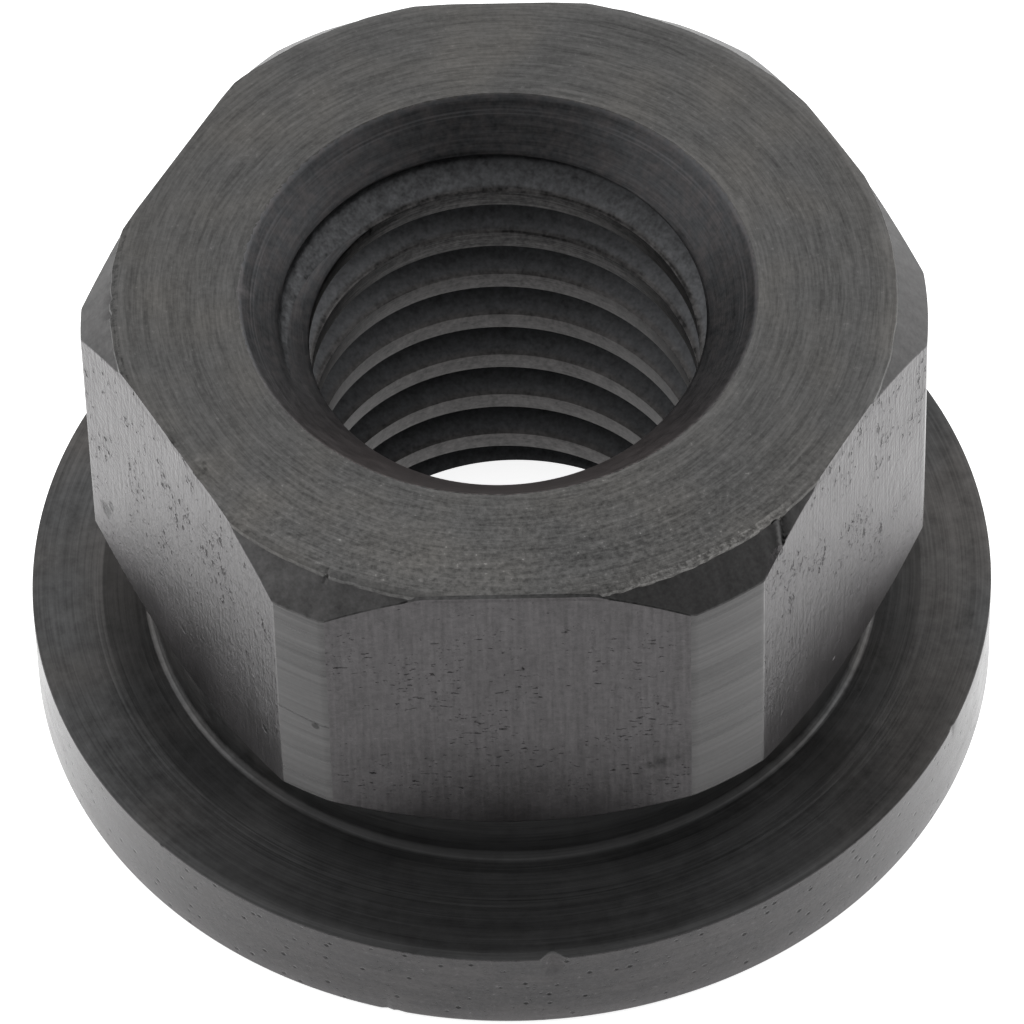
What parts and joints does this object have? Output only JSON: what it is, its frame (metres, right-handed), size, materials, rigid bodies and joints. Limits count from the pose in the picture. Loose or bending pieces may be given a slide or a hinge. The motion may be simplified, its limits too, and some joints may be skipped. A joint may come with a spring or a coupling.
{
  "type": "flange nut",
  "caption": "Hexagon nut with a round flange turned in one piece, a threaded bore, a countersink at each end and a turned neck under the hexagon.",
  "frame": {"origin": "centre of the flange's bearing face, on the axis of the thread", "axes": "+Z along the thread's axis from the bearing face towards the countersunk top face; one hexagon flat faces -Y and corners point to -X and +X"},
  "size_m": [0.035, 0.035, 0.0199],
  "materials": {
    "dark_steel": "black oxide over turned and milled steel, satin, with fine turning marks and small pits"
  },
  "bodies": {
    "root": {"flange_nut": "dark_steel"}
  },
  "joints": []
}
